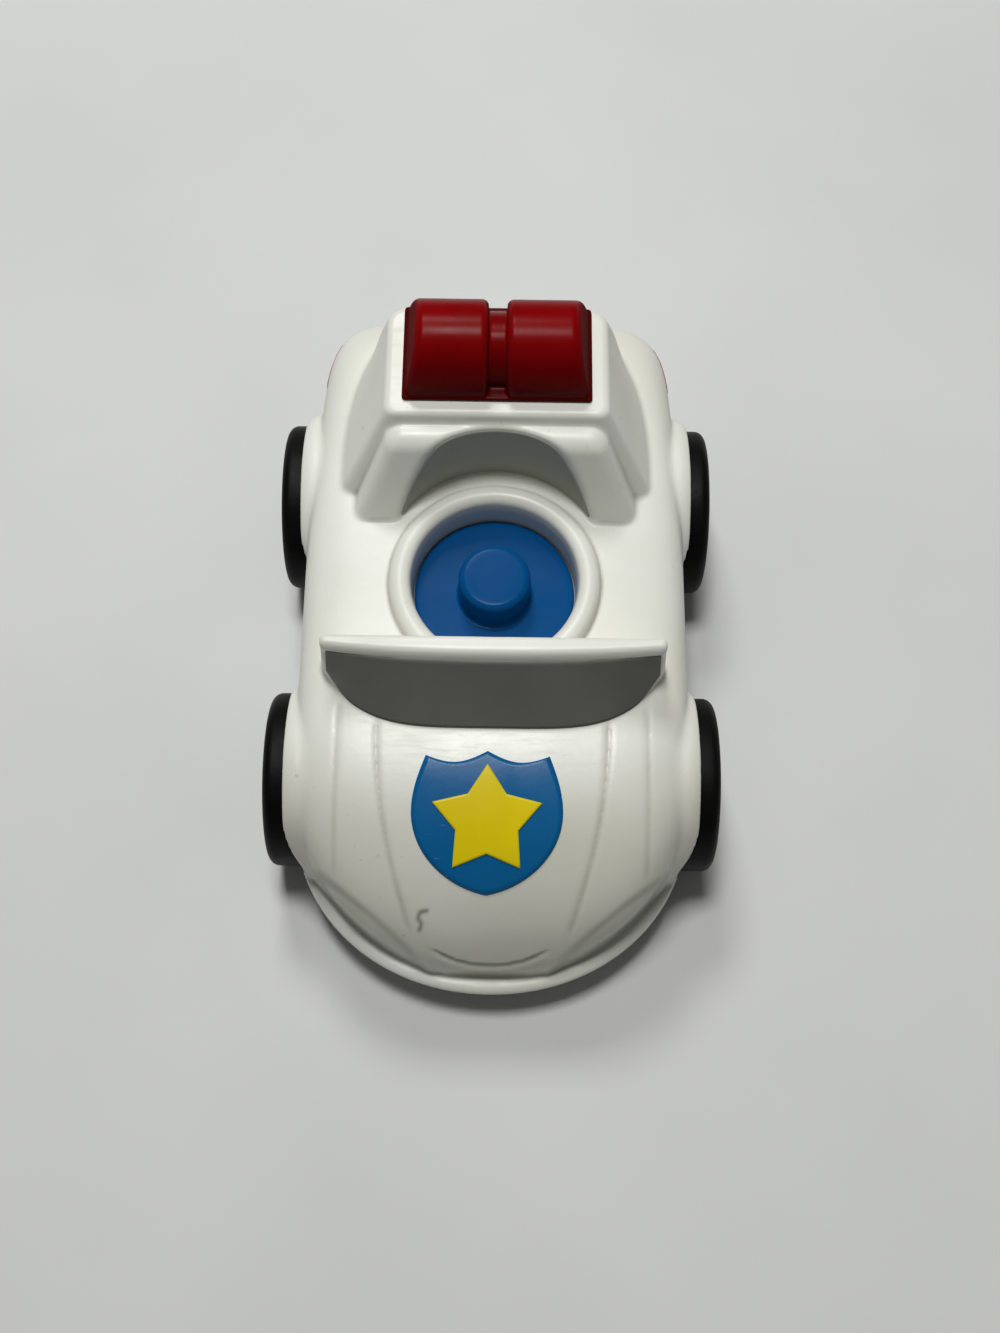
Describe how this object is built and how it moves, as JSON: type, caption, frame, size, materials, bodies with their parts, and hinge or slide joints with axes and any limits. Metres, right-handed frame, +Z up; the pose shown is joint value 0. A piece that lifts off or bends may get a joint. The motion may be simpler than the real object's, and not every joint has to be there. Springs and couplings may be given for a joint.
{
  "type": "toy police car",
  "caption": "Open-top push-along toy police car: moulded body on free-rolling wheel sets, swivelling seat plate with a figure peg, red roof light, and a plain shield and star label on the hood.",
  "frame": {"origin": "on the ground under the middle of the car", "axes": "+Z up, -Y towards the front of the car, +X to the right in the picture"},
  "size_m": [0.1, 0.1595, 0.0815],
  "materials": {
    "white_plastic": "warm white moulded plastic, satin gloss, lightly scuffed",
    "grey_finish": "flat grey finish on the moulding",
    "red_lens": "deep red glossy tinted plastic",
    "blue_label": "glossy printed label",
    "yellow_label": "glossy printed label",
    "red_label": "glossy printed label",
    "blue_plastic": "glossy moulded plastic",
    "black_plastic": "matt moulded plastic",
    "dark_plastic": "matt moulded plastic",
    "steel": "plain drawn steel"
  },
  "bodies": {
    "car": {"body_shell": "white_plastic", "windshield_screen": "grey_finish", "seat_back_lining": "grey_finish", "light_bar_lens": "red_lens", "badge_shield": "blue_label", "badge_star": "yellow_label", "tail_label_left": "red_label", "tail_label_right": "red_label", "chassis": "dark_plastic", "front_axle_keeper": "dark_plastic", "rear_axle_keeper": "dark_plastic", "body_screws": "steel", "keeper_screws": "steel", "lens_screws": "steel"},
    "front_wheelset": {"front_axle": "steel", "wheel_front_left": "black_plastic", "wheel_front_right": "black_plastic"},
    "rear_wheelset": {"rear_axle": "steel", "wheel_rear_left": "black_plastic", "wheel_rear_right": "black_plastic"},
    "seat": {"seat_plate": "blue_plastic", "seat_washer": "steel", "seat_screw": "steel"}
  },
  "joints": [
    {"name": "front_wheels_roll", "type": "hinge", "parent": "car", "child": "front_wheelset", "pos_m": [0, -0.0326, 0.01965], "axis": [1, 0, 0], "continuous": true},
    {"name": "rear_wheels_roll", "type": "hinge", "parent": "car", "child": "rear_wheelset", "pos_m": [0, 0.0368, 0.01965], "axis": [1, 0, 0], "continuous": true},
    {"name": "seat_swivel", "type": "hinge", "parent": "car", "child": "seat", "pos_m": [0, 0.0055, 0.04], "axis": [0, 0, 1], "continuous": true}
  ]
}
